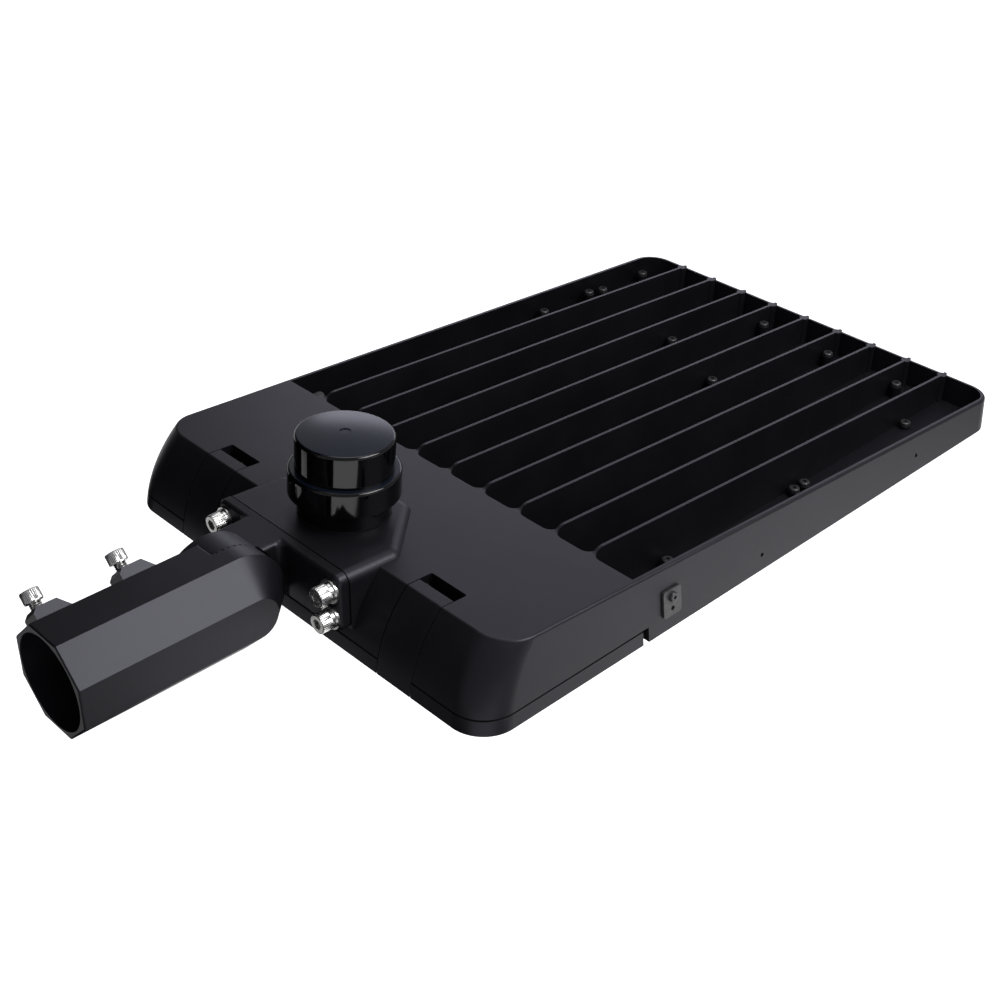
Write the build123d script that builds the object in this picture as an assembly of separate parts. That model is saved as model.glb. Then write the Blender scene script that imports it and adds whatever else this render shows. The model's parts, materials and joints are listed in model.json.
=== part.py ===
from build123d import *
from math import atan, cos, degrees, hypot, pi, sin, sqrt, tan
import os

# Frame: origin at the centre of the socket mouth, +X along the tube towards the head, +Z up, millimetres

# Slip fitter tube: an octagon with flats on top and at the sides
TUBE_FLATS = 67.0
SOCKET_D = 62.0
SOCKET_DEPTH = 78.0
PIVOT_X = 121.0
MOUTH_CHAMFER = 0.8

# Knuckle: two half discs that meet at the middle plane
KNUCKLE_GAP = 0.3
KNUCKLE_CLEARANCE = 1.0
BRACKET_RIM_Y = 20.0
SERRATIONS = 48
SERRATION_DEPTH = 0.8
SERRATION_INNER_R = 20.0
PIVOT_BOLT_D = 10.0
PIVOT_HEAD_D = 16.0
PIVOT_HEAD_H = 10.0
PIVOT_HEX = 8.0
PIVOT_SEAT_Y = 18.0
PIVOT_GRIP = 22.0
PIVOT_WASHER_D = 20.0
PIVOT_WASHER_T = 2.0

# Set screws on the upper far facet of the tube
SET_SCREW_X = (14.0, 70.0)
SET_SCREW_D = 8.0
SET_HEAD_D = 12.0
SET_HEAD_H = 7.5
SET_HEX = 6.0
SET_TRAVEL = 3.5
SET_TIP_RECESS = 0.3
SET_STOP = 0.5
FACET_BOSS_W = 19.0
FACET_BOSS_H = 7.5
FACET_BOSS_BACK = 7.0
FACET_BOSS_FRONT = 16.0
FACET_BOSS_BEVEL = 3.0
FACET_BOSS_RAMP = 7.0

# Bracket flange, neck and bolts
FLANGE_X = 160.0
FLANGE_T = 7.0
FLANGE_HALF = 60.5
FLANGE_TOP = 24.3
FLANGE_BOTTOM = -16.7
FLANGE_CORNER = 6.0
FLANGE_EDGE = 2.5
NECK_EDGE = 3.0
NECK_ROOT = 6.0
NECK_NEAR_Y = -5.0
NECK_FAR_Y = 32.0
NECK_BOTTOM = -14.0
FLANGE_GASKET_T = 1.0
FLANGE_GASKET_INSET = 0.8
BOLT_Y = 52.5
BOLT_TOP_Z = 12.3
BOLT_LOW_Z = -7.2
BOLT_D = 8.0
BOLT_HEAD_D = 13.0
BOLT_HEAD_H = 8.0
BOLT_HEX = 6.0
BOLT_REACH = 19.0
BOLT_HOLE_CLEARANCE = 0.4
SPRING_WASHER_D = 13.4
SPRING_WASHER_T = 2.2
SPRING_WASHER_SLIT = 1.2
FLAT_WASHER_D = 16.0
FLAT_WASHER_T = 1.6
BOLT_BOSS_D = 15.0

# Head: outer form shared by the housing, the door and the latches
HEAD_BOTTOM = -34.6
HALF_WIDTH = 177.5
SIDE_DRAFT = 0.135
END_FOOT_X = 165.7
END_TOP_X = 191.5
END_BULGE = 5.6
TRAY_X = 300.5
TOP_AT_TRAY = 12.4
TOP_SLOPE = 0.05836
FAR_TOP_X = 710.5
FAR_LEAN = 2.5
NEAR_CORNER = 25.0
FAR_CORNER = 20.0
TOP_EDGE = 2.0
WALL = 3.5
FORM_LEVELS = 6

# Fins and open tray: each floor screw has an X, its pitches from the middle plane and its boss's height
FIN_PITCH = 33.0
FINS_EACH_SIDE = 4
FIN_T = 2.2
FIN_RISE = 2.6
FIN_STEP_START = 3.0
FIN_STEP_LENGTH = 8.0
FIN_POST_D = 7.0
CHANNEL_CORNER = 7.0
TRAY_FRONT_X = 309.5
TRAY_LEDGE = 3.5
SIDE_HOLES = ((422.6, -23.1), (603.3, -21.4))
SIDE_HOLE_D = 3.0
FLOOR_SCREWS = (
    (370.5, -4.2, 7.5),
    (507.5, -4.2, 3.5),
    (519.5, -4.2, 3.5),
    (646.5, -4.2, 2.5),
    (681.5, -3.2, 9.5),
    (682.5, -1.2, 10.0),
    (576.0, -0.2, 12.0),
    (683.5, 0.8, 11.5),
    (605.0, 1.8, 11.5),
    (563.5, 5.0, 12.0),
    (618.5, 5.0, 12.0),
    (636.0, 5.0, 9.0),
    (688.0, 5.0, 8.0),
)
FLOOR_BOSS_D = 9.0
FLOOR_SCREW_D = 4.0
FLOOR_SCREW_GRIP = 3.0
FLOOR_HEAD_D = 8.0
FLOOR_HEAD_H = 3.0

# Driver door, its seam and its hinge
SEAM_Z = -24.5
SEAM_GAP = 1.2
DOOR_END_X = 304.3
DOOR_WALL = 3.0
GASKET_INSET = 0.7
GASKET_CLEARANCE = 0.3
HINGE_X = 306.9
HINGE_Z = -32.0
HINGE_Y = 122.0
HINGE_BARREL_R = 3.0
HINGE_PIN_D = 3.0
HINGE_DOOR_L = 18.0
HINGE_LUG_L = 8.0
HINGE_SIDE_GAP = 0.4
HINGE_RELIEF = 0.6
HINGE_WEB_SHARE = 0.7
PIN_CLEARANCE = 0.05

# Latches
LATCH_Y = 100.7
LATCH_WIDTH = 29.6
LATCH_GAP = 0.7
LATCH_T = 3.2
LATCH_LIP_X = 201.0
POCKET_BACK_X = 211.5
POCKET_CORNER = 1.5
LATCH_PIVOT_X = 174.0
LATCH_PIVOT_Z = -28.6
LATCH_BARREL_R = 3.5
LATCH_PIN_D = 3.0
LATCH_SWEEP = 1.5
LATCH_NUB_R = 1.5
LATCH_NUB_SHIFT = 8.5

# Receptacle boss, receptacle and cap, stacked square to the sloping top
BOSS_RISE = 4.0
BOSS_HALF = 61.0
BOSS_SIDE_END_X = 208.0
BOSS_BACK_X = 252.0
BOSS_BACK_HALF = 22.0
BOSS_EDGE = 7.5
BOSS_PLAN_CORNER = 10.0
CAP_X = 213.6
WIRE_HOLE_D = 26.0
RECEPTACLE_D = 60.0
RECEPTACLE_H = 13.0
RECEPTACLE_EDGE = 1.0
RECEPTACLE_GASKET_T = 1.0
RECEPTACLE_SCREW_R = 24.5
RECEPTACLE_SCREW_D = 4.0
RECEPTACLE_SCREW_GRIP = 5.0
RECEPTACLE_HEAD_D = 7.0
RECEPTACLE_HEAD_H = 2.5
CAP_GAP = 0.3
CAP_RING_D = 72.0
CAP_RING_H = 17.0
CAP_TOP_D = 63.0
CAP_TOP_H = 24.5
CAP_DOME = 2.0
CAP_WALL = 2.5
CAP_EDGE = 2.0
CAP_MARK_D = 7.0
CAP_MARK_DEPTH = 0.5
BLADES = 3
BLADE_R = 16.0
BLADE_T = 1.6
BLADE_ARC = 34.0
BLADE_DEPTH = 10.0
BLADE_ROOT = 4.0
SLOT_CLEARANCE = 0.5
SLOT_DEPTH = 11.5
CAP_TWIST = 20.0
CONTACT_T = 1.2
CAP_BASE_D = 58.0
CAP_SEAL_D = 47.0
CAP_SEAL_T = 1.6
CAP_SEAL_BAND = 2.5

# Gear inside the compartment
GEAR_PLATE_X = (222.0, 292.0)
GEAR_PLATE_END = 19.0
GEAR_GAP = 4.0
GEAR_PLATE_T = 2.0
GEAR_PLATE_TOP = 6.0
GEAR_SCREW_INSET = 8.0
GEAR_POST_D = 10.0
GEAR_SCREW_D = 4.0
GEAR_SCREW_GRIP = 4.5
GEAR_HEAD_D = 8.0
GEAR_HEAD_H = 2.6
DRIVER_SIZE = (60.0, 190.0, 30.0)
DRIVER_X = 257.0
DRIVER_EAR = 8.0
DRIVER_EAR_T = 2.0
DRIVER_EDGE = 2.0
SURGE_SIZE = (38.0, 52.0, 28.0)
SURGE_X = 248.0
TERMINAL_SIZE = (18.0, 48.0, 16.0)
TERMINAL_X = 281.0
TERMINAL_WAYS = 5
GLAND_SIDE = 21.8
GLAND_Z = 0.0
GLAND_D = 10.0
GLAND_NUT = 14.0
GLAND_NUT_T = 4.0
GLAND_REACH = 16.0

# Light modules under the tray floor
MODULES_X = 2
MODULE_SIZE = (178.0, 152.0)
MODULE_GAP = (12.0, 16.0)
MODULES_MIDDLE_X = 515.0
BOARD_T = 1.6
BOARD_MARGIN = 8.0
LENS_T = 3.0
LENS_CORNER = 6.0
LENS_DOME_R = 7.5
LENS_DOME_H = 4.5
LED_COUNT = (6, 4)
LED_MARGIN = (24.0, 31.0)
LED_SIZE = 3.5
LED_T = 0.8
LED_POCKET_R = 4.0
LED_POCKET_DEPTH = 1.4
LENS_SCREW_D = 3.5
LENS_SCREW_GRIP = 2.8
LENS_SCREW_HEAD_D = 7.0
LENS_SCREW_HEAD_H = 2.2
LENS_SCREW_INSET = 5.0

# Clip on each side wall
CLIP_X = 330.75
CLIP_Z = -15.0
CLIP_SIZE = (16.5, 19.0, 1.6)
CLIP_CORNER = 2.0
CLIP_SCREW_Z = 4.0
CLIP_HOLE_Z = -4.5
CLIP_HOLE_D = 3.4
CLIP_SCREW_D = 4.0
CLIP_SCREW_GRIP = 3.0
CLIP_HEAD_D = 7.0
CLIP_HEAD_H = 2.2

# Shares of a screw head's height or width taken by its edge and its key
HEAD_CHAMFER_SHARE = 0.1
KEY_DEPTH_SHARE = 0.55
PAN_ROUND_SHARE = 0.4
PAN_KEY_SHARE = 0.2

# Fit between a screw thread and the hole that holds it
THREAD_FIT = 0.02
# Reach of a cutter past the surface that it opens
PAST = 5.0
# Size of a cutter that covers the whole object, and of one that covers its height
FAR = 1000.0
TALL = 100.0

APOTHEM = TUBE_FLATS / 2
HALF_FLAT = APOTHEM * tan(pi / 8)
BOSS_FACE_X = FLANGE_X + FLANGE_T + FLANGE_GASKET_T
FLOOR_TOP = HEAD_BOTTOM + WALL
DOOR_EDGE_Z = SEAM_Z - SEAM_GAP / 2
HOUSING_EDGE_Z = SEAM_Z + SEAM_GAP / 2
FORM_SPLIT_X = (TRAY_X + FAR_TOP_X) / 2
LATCH_PIN_L = LATCH_WIDTH + 2 * (LATCH_GAP + DOOR_WALL)
FACET_IN = (0, -sqrt(0.5), -sqrt(0.5))
FACET_BOSS_TOP = APOTHEM + FACET_BOSS_H
SET_SEAT = FACET_BOSS_TOP + SET_TRAVEL + SET_STOP
SIDES = (-1, 1)
GEAR_RUN = DRIVER_SIZE[1] + 2 * DRIVER_EAR + GEAR_GAP + SURGE_SIZE[1]
GEAR_PLATE_HALF = GEAR_RUN / 2 + GEAR_PLATE_END
DRIVER_XY = (DRIVER_X, DRIVER_EAR + DRIVER_SIZE[1] / 2 - GEAR_RUN / 2)
SURGE_XY = (SURGE_X, GEAR_RUN / 2 - SURGE_SIZE[1] / 2)
TERMINAL_XY = (TERMINAL_X, SURGE_XY[1])
GLAND_Y = HALF_WIDTH - SIDE_DRAFT * (GLAND_Z - HEAD_BOTTOM) - GLAND_SIDE
MODULE_PITCH = (MODULE_SIZE[0] + MODULE_GAP[0], MODULE_SIZE[1] + MODULE_GAP[1])
LED_PITCH = [(MODULE_SIZE[k] - 2 * LED_MARGIN[k]) / (LED_COUNT[k] - 1) for k in (0, 1)]
CAP_LEVEL = BOSS_RISE + RECEPTACLE_GASKET_T + RECEPTACLE_H + CAP_GAP
LOW = (Align.CENTER, Align.CENTER, Align.MIN)
NO_SHIFT = (Align.NONE, Align.NONE, Align.MIN)


def top_z(x):
    """Height of the head's sloping top at a place along X."""
    return TOP_AT_TRAY + TOP_SLOPE * (TRAY_X - x)


def half_width(z):
    """Half width of the head's drafted sides at a height."""
    return HALF_WIDTH - SIDE_DRAFT * (z - HEAD_BOTTOM)


def block(low, high):
    """Box between two opposite corners."""
    size = [b - a for a, b in zip(low, high)]
    middle = [(a + b) / 2 for a, b in zip(low, high)]
    return Pos(*middle) * Box(*size)


def rod(start, direction, diameter, length):
    """Cylinder that starts at a point and runs along a direction."""
    return Plane(origin=start, z_dir=direction) * Cylinder(diameter / 2, length, align=LOW)


def ring(start, direction, outer, inner, length):
    """Round washer that starts at a point and runs along a direction."""
    return rod(start, direction, outer, length) - rod(start, direction, inner, length)


def joined(shapes):
    """All shapes of a list fused together."""
    shapes = list(shapes)
    return shapes[0] if len(shapes) == 1 else shapes[0].fuse(*shapes[1:])


def group(shapes):
    """Separate solids kept side by side in one node."""
    solids = [solid for shape in shapes for solid in shape.solids()]
    return Compound(solids)


def socket_screw(start, direction, shank, head_d, head_h, hexagon, length):
    """Socket-head screw whose head seats at the start and whose shank runs along the direction."""
    seat = Plane(origin=start, z_dir=direction)
    head = Pos(0, 0, -head_h) * Cylinder(head_d / 2, head_h, align=LOW)
    head = chamfer(head.edges().group_by(Axis.Z)[0], head_h * HEAD_CHAMFER_SHARE)
    outline = RegularPolygon(hexagon / 2, 6, major_radius=False)
    key = Pos(0, 0, -head_h) * extrude(outline, head_h * KEY_DEPTH_SHARE)
    screw = head - key + Cylinder(shank / 2, length, align=LOW)
    return seat * screw


def pan_screw(start, direction, shank, head_d, head_h, length):
    """Domed screw whose head seats at the start and whose shank runs along the direction."""
    seat = Plane(origin=start, z_dir=direction)
    head = Pos(0, 0, -head_h) * Cylinder(head_d / 2, head_h, align=LOW)
    head = fillet(head.edges().group_by(Axis.Z)[0], head_h * PAN_ROUND_SHARE)
    key = Pos(0, 0, -head_h) * extrude(RegularPolygon(head_d * PAN_KEY_SHARE, 6), head_h * KEY_DEPTH_SHARE)
    return seat * (head - key + Cylinder(shank / 2, length, align=LOW))


def slab(low, high):
    """Level slice of space between two heights."""
    return block((-FAR, -FAR, low), (FAR, FAR, high))


def before(x):
    """All space on the socket's side of a place along X."""
    return block((-FAR, -FAR, -FAR), (x, FAR, FAR))


def cap_plane(height):
    """Level of the receptacle stack at a height over the head's sloping top."""
    slope = atan(TOP_SLOPE)
    along = (cos(slope), 0, -sin(slope))
    upward = (sin(slope), 0, cos(slope))
    return Plane(origin=(CAP_X, 0, top_z(CAP_X)), x_dir=along, z_dir=upward).offset(height)


def under_top():
    """All space under the compartment's sloping top plate."""
    return cap_plane(-WALL) * Box(2 * FAR, FAR, FAR, align=(Align.CENTER, Align.CENTER, Align.MAX))


def parted(shape, space):
    """Solids of a shape inside and outside a space, side by side."""
    return group([shape & space, shape - space])


def drafted(profile, inset):
    """Side outline made as wide as the head, between its drafted sides."""
    body = extrude(Plane.XZ * profile, HALF_WIDTH + PAST, both=True)
    low = half_width(-TALL) - inset
    high = half_width(TALL) - inset
    corners = ((-low, -TALL), (low, -TALL), (high, TALL), (-high, TALL))
    return body & extrude(Plane.YZ * make_face(Polyline(*corners, close=True)), FAR)


def end_wall():
    """Centre and radius of the curved end wall, seen from the side."""
    run = END_TOP_X - END_FOOT_X
    rise = top_z(END_TOP_X) - HEAD_BOTTOM
    chord = hypot(run, rise)
    radius = (chord**2 / 4 + END_BULGE**2) / (2 * END_BULGE)
    depth = radius - END_BULGE
    x = END_FOOT_X + run / 2 + depth * rise / chord
    z = HEAD_BOTTOM + rise / 2 - depth * run / chord
    return x, z, radius


def far_x(z):
    """Place of the leaning far wall at a height."""
    return FAR_TOP_X + FAR_LEAN * (z - top_z(FAR_TOP_X)) / (top_z(FAR_TOP_X) - HEAD_BOTTOM)


def near_section(z, inset):
    """Level section of the head's near end, with its two rounded corners."""
    centre_x, centre_z, radius = end_wall()
    end = centre_x - sqrt((radius - inset) ** 2 - (z - centre_z) ** 2)
    half = half_width(z) - inset
    corner = NEAR_CORNER - inset
    back = end + corner
    flank = half - corner
    bend = corner * sqrt(0.5)
    return make_face([
        ThreePointArc((back, half, z), (back - bend, flank + bend, z), (end, flank, z)),
        Line((end, flank, z), (end, -flank, z)),
        ThreePointArc((end, -flank, z), (back - bend, -flank - bend, z), (back, -half, z)),
        Line((back, -half, z), (FORM_SPLIT_X, -half, z)),
        Line((FORM_SPLIT_X, -half, z), (FORM_SPLIT_X, half, z)),
        Line((FORM_SPLIT_X, half, z), (back, half, z)),
    ])


def far_block(inset, near, low, high):
    """Far end of the head from a place along X, between two heights, with its two rounded corners."""
    corners = ((near, low), (far_x(low) - inset, low), (far_x(high) - inset, high), (near, high))
    body = drafted(make_face(Polyline(*corners, close=True)), inset)
    tall = [e for e in body.edges() if e.bounding_box().size.Z > (high - low) / 2]
    upright = [e for e in tall if e.center().X > FAR_TOP_X - FAR_CORNER]
    return fillet(upright, FAR_CORNER - inset)


def head_form(inset):
    """Closed form of the head, moved inwards on every face."""
    low = HEAD_BOTTOM - PAST
    high = top_z(END_FOOT_X) + 2 * PAST
    levels = [low + (high - low) * k / FORM_LEVELS for k in range(FORM_LEVELS + 1)]
    body = loft([near_section(z, inset) for z in levels]) + far_block(inset, FORM_SPLIT_X, low, high)
    body -= slab(-FAR, HEAD_BOTTOM + inset)
    body -= cap_plane(-inset) * Box(2 * FAR, FAR, TALL, align=LOW)
    if not inset:
        body = fillet(body.faces().sort_by(Axis.Z)[-1].edges(), TOP_EDGE)
    return body


OUTER = head_form(0.0)
INNER = head_form(WALL)


def tray_space():
    """Space inside the tray's walls, open upwards."""
    return far_block(WALL, TRAY_X - PAST, FLOOR_TOP, top_z(0) + PAST)


def fin_places():
    """Y of every fin."""
    return [FIN_PITCH * k for k in range(-FINS_EACH_SIDE, FINS_EACH_SIDE + 1)]


def fin_root_end():
    """Place along X where the fins' cast roots end and the fins proper begin."""
    return TRAY_X + FIN_STEP_START + FIN_STEP_LENGTH


def tray_ledge():
    """Solid foot of the tray's front wall."""
    return before(TRAY_FRONT_X + WALL) & slab(-FAR, HOUSING_EDGE_Z + TRAY_LEDGE)


def tray_opening():
    """Open space of the tray, with rounded corners between the fins' roots."""
    fins = fin_places()
    reach = half_width(FLOOR_TOP) - WALL
    starts = [-reach] + [y + FIN_T / 2 for y in fins]
    ends = [y - FIN_T / 2 for y in fins] + [reach]
    length = FAR_TOP_X + FAR_CORNER - TRAY_X
    cutters = [tray_space() - before(fin_root_end())]
    for start, end in zip(starts, ends):
        plan = RectangleRounded(length, end - start, CHANNEL_CORNER)
        place = Pos(TRAY_X + length / 2, (start + end) / 2, FLOOR_TOP)
        cutters.append(place * extrude(plan, top_z(0) - FLOOR_TOP + PAST))
    return (joined(cutters) - tray_ledge()) & tray_space()


def fin_plate(y, outline):
    """Upright plate of a fin's thickness from its outline in X and Z."""
    return Pos(0, y, 0) * extrude(Plane.XZ * make_face(outline), FIN_T / 2, both=True)


def fin_root(y):
    """Upper edge of a fin's root, which steps up out of the compartment's top."""
    start = TRAY_X - FIN_T / 2
    step = TRAY_X + FIN_STEP_START
    end = fin_root_end()
    middle = (step + end) / 2
    depth = TOP_EDGE + FIN_RISE
    lower = (step, top_z(step))
    upper = (end, top_z(end) + FIN_RISE)
    return fin_plate(y, [
        Line((start, top_z(start)), lower),
        Bezier(lower, (middle, lower[1]), (middle, upper[1]), upper),
        Line(upper, (end, top_z(end) - depth)),
        Line((end, top_z(end) - depth), (start, top_z(start) - depth)),
        Line((start, top_z(start) - depth), (start, top_z(start))),
    ])


def cooling_fin(y):
    """Fin proper, from its root to the far wall, with the post at its far end."""
    start = fin_root_end()
    end = FAR_TOP_X
    corners = (
        (start, FLOOR_TOP),
        (start, top_z(start) + FIN_RISE),
        (end, top_z(end) + FIN_RISE),
        (end, FLOOR_TOP),
    )
    plate = fin_plate(y, Polyline(*corners, close=True))
    post_x = far_x(FLOOR_TOP) - WALL - FIN_POST_D / 2
    post = rod((post_x, y, FLOOR_TOP), (0, 0, 1), FIN_POST_D, top_z(post_x) + FIN_RISE - FLOOR_TOP)
    return (plate + post) & tray_space() - tray_ledge()


def floor_screw_seats():
    """Seat of every floor screw, on top of its boss."""
    return [(x, FIN_PITCH * pitches, FLOOR_TOP + height) for x, pitches, height in FLOOR_SCREWS]


def floor_boss(seat):
    """Boss that rises from the tray's floor to a screw's seat."""
    x, y, z = seat
    return rod((x, y, FLOOR_TOP - WALL / 2), (0, 0, 1), FLOOR_BOSS_D, z - FLOOR_TOP + WALL / 2)


def mounting_boss():
    """Boss on the compartment that carries the receptacle and takes the bracket's flange."""
    half = (
        (BOSS_FACE_X, BOSS_HALF),
        (BOSS_SIDE_END_X, BOSS_HALF),
        (BOSS_BACK_X, BOSS_BACK_HALF),
    )
    plan = list(half) + [(x, -y) for x, y in reversed(half)]
    boss = extrude(Pos(0, 0, FLANGE_BOTTOM) * make_face(Polyline(*plan, close=True)), TALL)
    boss -= cap_plane(BOSS_RISE) * Box(FAR, FAR, FAR, align=LOW)
    rounded = [e for e in boss.edges().filter_by(Axis.Z) if e.center().X > BOSS_FACE_X + BOSS_EDGE]
    boss = fillet(rounded, BOSS_PLAN_CORNER)
    top = boss.faces().sort_by(Axis.Z)[-1]
    rim = [e for e in top.edges() if e.center().X > BOSS_FACE_X + BOSS_EDGE]
    return fillet(rim, BOSS_EDGE)


def pocket(side, grow):
    """Space of one latch pocket, grown on the three sides that the head encloses."""
    half = LATCH_WIDTH / 2 + LATCH_GAP + grow
    low = (END_FOOT_X - PAST, side * LATCH_Y - half, HEAD_BOTTOM - PAST)
    high = (POCKET_BACK_X + grow, side * LATCH_Y + half, top_z(END_FOOT_X) + PAST)
    space = block(low, high)
    back = space.edges().filter_by(Axis.Z).sort_by(Axis.X)[-2:]
    return fillet(back, POCKET_CORNER + grow)


def pockets(grow):
    """Both latch pockets."""
    return pocket(-1, grow) + pocket(1, grow)


def bolt_places():
    """Y and Z of every flange bolt."""
    return [(side * BOLT_Y, z) for side in SIDES for z in (BOLT_TOP_Z, BOLT_LOW_Z)]


def gear_places():
    """X and Y of every screw of the gear plate."""
    ends = (GEAR_PLATE_X[0] + GEAR_SCREW_INSET, GEAR_PLATE_X[1] - GEAR_SCREW_INSET)
    return [(x, side * (GEAR_PLATE_HALF - GEAR_SCREW_INSET)) for x in ends for side in SIDES]


def hinge_rod(side, start, length, diameter):
    """Rod on the door's hinge axis, whose start is measured from the middle of one hinge."""
    return rod((HINGE_X, side * HINGE_Y + start, HINGE_Z), (0, 1, 0), diameter, length)


def hinge_lugs(side):
    """Lugs on both sides of one door barrel, grown out of the tray's front wall."""
    lugs = []
    inner = HINGE_DOOR_L / 2 + HINGE_SIDE_GAP
    for start in (-inner - HINGE_LUG_L, inner):
        y = side * HINGE_Y + start
        foot = block(
            (HINGE_X, y, HINGE_Z - HINGE_BARREL_R * HINGE_WEB_SHARE),
            (TRAY_FRONT_X + WALL / 2, y + HINGE_LUG_L, HINGE_Z + HINGE_BARREL_R),
        )
        lugs.append(foot + hinge_rod(side, start, HINGE_LUG_L, 2 * HINGE_BARREL_R))
    return joined(lugs)


def module_places():
    """X and Y of the middle of every light module."""
    columns = [MODULES_MIDDLE_X + MODULE_PITCH[0] * (k - (MODULES_X - 1) / 2) for k in range(MODULES_X)]
    return [(x, side * MODULE_PITCH[1] / 2) for x in columns for side in SIDES]


def lens_screw_places():
    """X and Y of every lens screw: the corners and the middles of the long edges."""
    reach_x = MODULE_SIZE[0] / 2 - LENS_SCREW_INSET
    reach_y = MODULE_SIZE[1] / 2 - LENS_SCREW_INSET
    offsets = [(dx, dy) for dx in (-reach_x, 0, reach_x) for dy in (-reach_y, reach_y)]
    return [(x + dx, y + dy) for x, y in module_places() for dx, dy in offsets]


def side_plane(side, x, z):
    """Plane on the outside of one side wall, with its second axis pointing up the wall."""
    draft = atan(SIDE_DRAFT)
    normal = (0, side * cos(draft), sin(draft))
    return Plane(origin=(x, side * half_width(z), z), x_dir=(-side, 0, 0), z_dir=normal)


def housing_holes():
    """Every hole that is drilled in the housing."""
    thread = 2 * THREAD_FIT
    holes = [
        rod((BOSS_FACE_X - PAST, y, z), (1, 0, 0), BOLT_D + thread, BOLT_REACH + PAST)
        for y, z in bolt_places()
    ]
    holes += [
        rod((x, y, GEAR_PLATE_TOP - PAST), (0, 0, 1), GEAR_SCREW_D + thread, PAST + GEAR_SCREW_GRIP)
        for x, y in gear_places()
    ]
    holes += [
        rod((x, y, HEAD_BOTTOM - PAST), (0, 0, 1), LENS_SCREW_D + thread, PAST + LENS_SCREW_GRIP)
        for x, y in lens_screw_places()
    ]
    holes += [
        rod((x, y, z + PAST), (0, 0, -1), FLOOR_SCREW_D + thread, PAST + FLOOR_SCREW_GRIP)
        for x, y, z in floor_screw_seats()
    ]
    for side in SIDES:
        drill = Cylinder(SIDE_HOLE_D / 2, 2 * WALL + PAST)
        holes += [side_plane(side, x, z) * drill for x, z in SIDE_HOLES]
        clip = side_plane(side, CLIP_X, CLIP_Z) * Pos(0, CLIP_SCREW_Z, -CLIP_SCREW_GRIP)
        holes.append(clip * Cylinder((CLIP_SCREW_D + thread) / 2, CLIP_SCREW_GRIP + PAST, align=LOW))
        holes.append(hinge_rod(side, -HINGE_DOOR_L, 2 * HINGE_DOOR_L, HINGE_PIN_D + thread))
        seat = cap_plane(BOSS_RISE) * Pos(0, side * RECEPTACLE_SCREW_R, -RECEPTACLE_SCREW_GRIP)
        width = RECEPTACLE_SCREW_D + thread
        holes.append(seat * Cylinder(width / 2, RECEPTACLE_SCREW_GRIP + PAST, align=LOW))
    holes.append(cap_plane(0) * Cylinder(WIRE_HOLE_D / 2, TALL))
    gland = (TRAY_X - WALL - PAST, GLAND_Y, GLAND_Z)
    holes.append(rod(gland, (1, 0, 0), GLAND_D + thread, WALL + 2 * PAST))
    return group(holes)


def head_casting():
    """Compartment, receptacle boss and tray together, with everything that is drilled in them."""
    shell = OUTER + mounting_boss()
    shell -= before(TRAY_FRONT_X) & slab(-FAR, HOUSING_EDGE_Z)
    shell -= (INNER & before(TRAY_X - WALL)) - pockets(WALL)
    shell -= pockets(0.0)
    shell -= tray_opening()
    shell = shell.fuse(*[fin_root(y) for y in fin_places()])
    reach = BOLT_REACH + BOLT_BOSS_D / 4
    bosses = [rod((BOSS_FACE_X, y, z), (1, 0, 0), BOLT_BOSS_D, reach) for y, z in bolt_places()]
    posts = [
        rod((x, y, GEAR_PLATE_TOP), (0, 0, 1), GEAR_POST_D, top_z(x) - WALL / 2 - GEAR_PLATE_TOP)
        for x, y in gear_places()
    ]
    lugs = [hinge_lugs(side) for side in SIDES]
    seats = [floor_boss(seat) for seat in floor_screw_seats()]
    shell = shell.fuse(*bosses, *posts, *lugs, *seats)
    relief = 2 * (HINGE_BARREL_R + HINGE_RELIEF)
    run = HINGE_DOOR_L + 2 * HINGE_SIDE_GAP
    barrels = group(hinge_rod(side, -run / 2, run, relief) for side in SIDES)
    return shell - barrels - housing_holes()


def knuckle_half(side, rim):
    """Half of the knuckle: half of the tube's outline turned about the pivot axis, with a rim along Y."""
    outline = (
        (0, side * KNUCKLE_GAP / 2),
        (APOTHEM, side * KNUCKLE_GAP / 2),
        (APOTHEM, side * rim),
        (rim, side * APOTHEM),
        (0, side * APOTHEM),
    )
    face = Pos(PIVOT_X, 0, 0) * make_face(Polyline(*outline, close=True))
    return revolve(face, Axis((PIVOT_X, 0, 0), (0, 1, 0)))


def serrations(side):
    """Radial grooves in one of the two faces that meet in the knuckle."""
    face = side * KNUCKLE_GAP / 2
    width = pi * SERRATION_INNER_R / SERRATIONS
    corners = ((face, -width / 2), (face, width / 2), (face + side * SERRATION_DEPTH, 0))
    section = Plane.YZ.offset(PIVOT_X + SERRATION_INNER_R) * make_face(Polyline(*corners, close=True))
    groove = extrude(section, APOTHEM - SERRATION_INNER_R + KNUCKLE_CLEARANCE / 2)
    axis = Axis((PIVOT_X, 0, 0), (0, 1, 0))
    return group(groove.rotate(axis, 360 * k / SERRATIONS) for k in range(SERRATIONS))


def pivot_rod(start, diameter, end):
    """Rod on the pivot axis between two places along Y."""
    return rod((PIVOT_X, start, 0), (0, 1, 0), diameter, end - start)


def facet_point(x, radius):
    """Point over the tube's upper far facet at a distance from the tube's axis."""
    return (x, radius * sqrt(0.5), radius * sqrt(0.5))


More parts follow.
